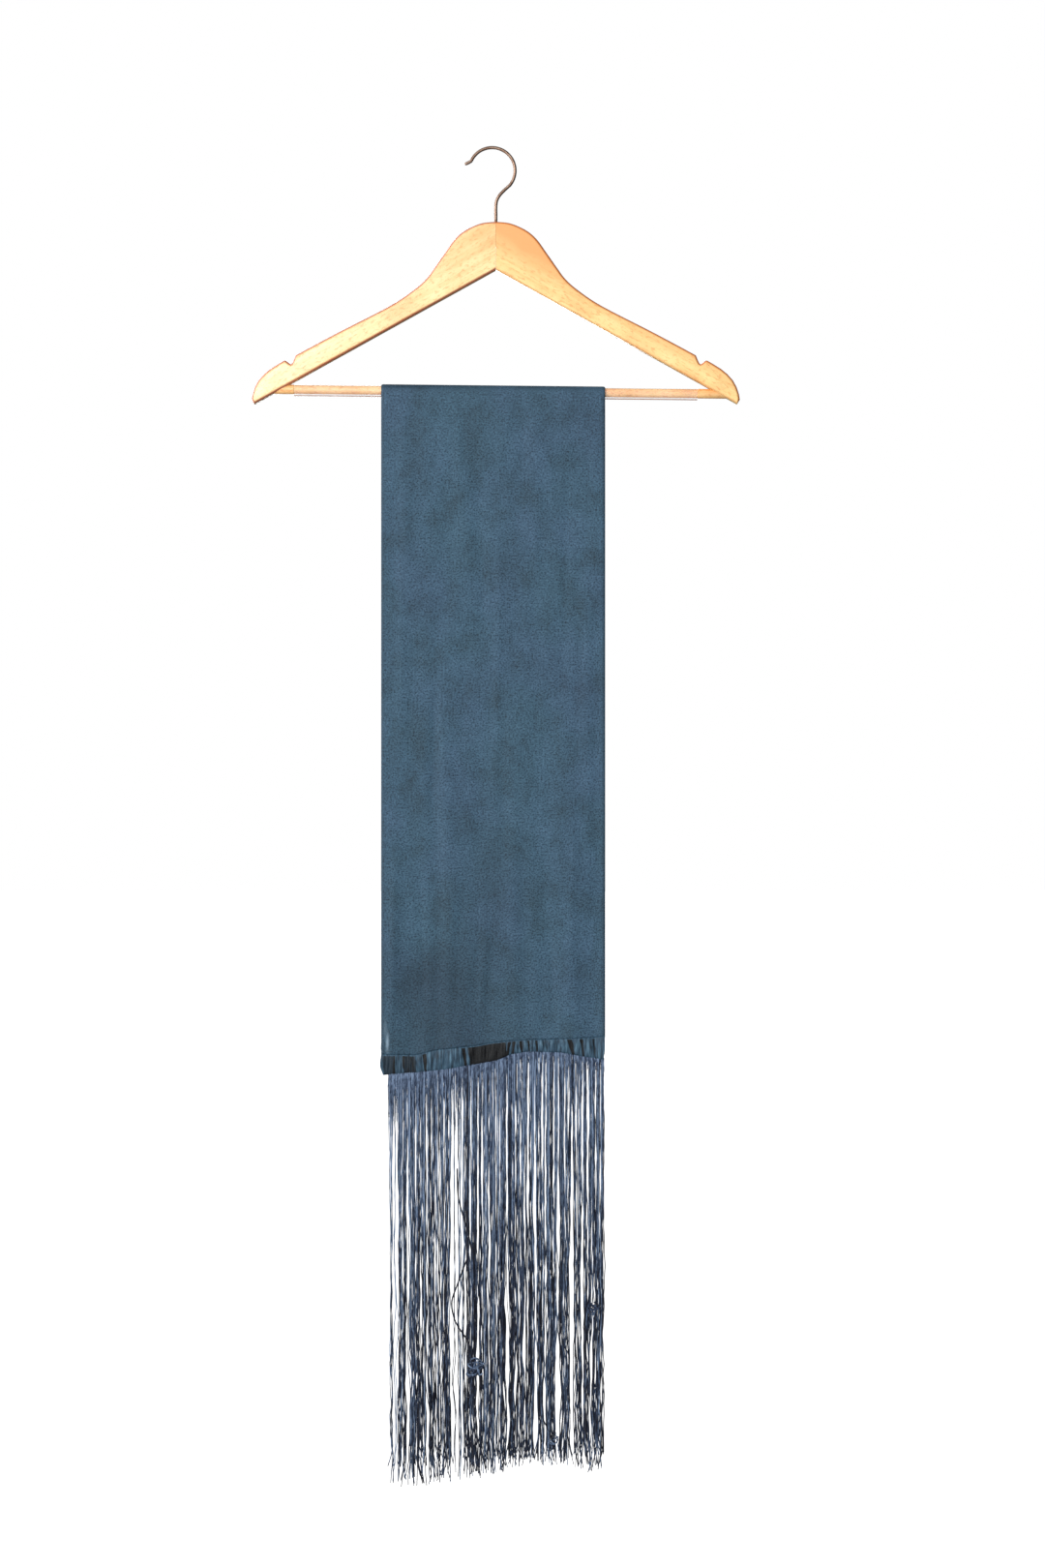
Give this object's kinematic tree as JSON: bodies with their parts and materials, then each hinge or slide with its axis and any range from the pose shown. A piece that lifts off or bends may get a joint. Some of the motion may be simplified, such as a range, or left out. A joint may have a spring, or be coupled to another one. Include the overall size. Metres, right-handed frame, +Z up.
{
  "type": "fringed scarf on a clothes hanger",
  "caption": "Long fringed scarf hung in half over the trouser bar of a wooden clothes hanger with a wire hook, front and back sides hanging flat.",
  "frame": {"origin": "inside of the hook's crown, where a rail carries the hanger", "axes": "+Z up, +X along the hanger to the right as seen from the front, the scarf's front faces -Y"},
  "size_m": [0.4454, 0.018, 1.2223],
  "materials": {
    "lacquered_beech": "clear satin lacquer on pale beech",
    "nickel_wire": "polished nickel-plated steel wire",
    "clear_vinyl": "clear soft vinyl tube, glossy",
    "blue_crepe": "matt crepe weave with a faint sheen",
    "blue_satin": "gathered satin with soft highlights",
    "blue_thread": "loose twisted threads"
  },
  "bodies": {
    "root": {"hanger_hook": "nickel_wire", "hanger_arm_left": "lacquered_beech", "hanger_arm_right": "lacquered_beech", "trouser_bar": "lacquered_beech", "bar_sleeve": "clear_vinyl", "scarf_cloth": "blue_crepe", "hem_band_front": "blue_satin", "hem_band_back": "blue_satin", "fringe_front": "blue_thread", "fringe_back": "blue_thread"}
  },
  "joints": []
}
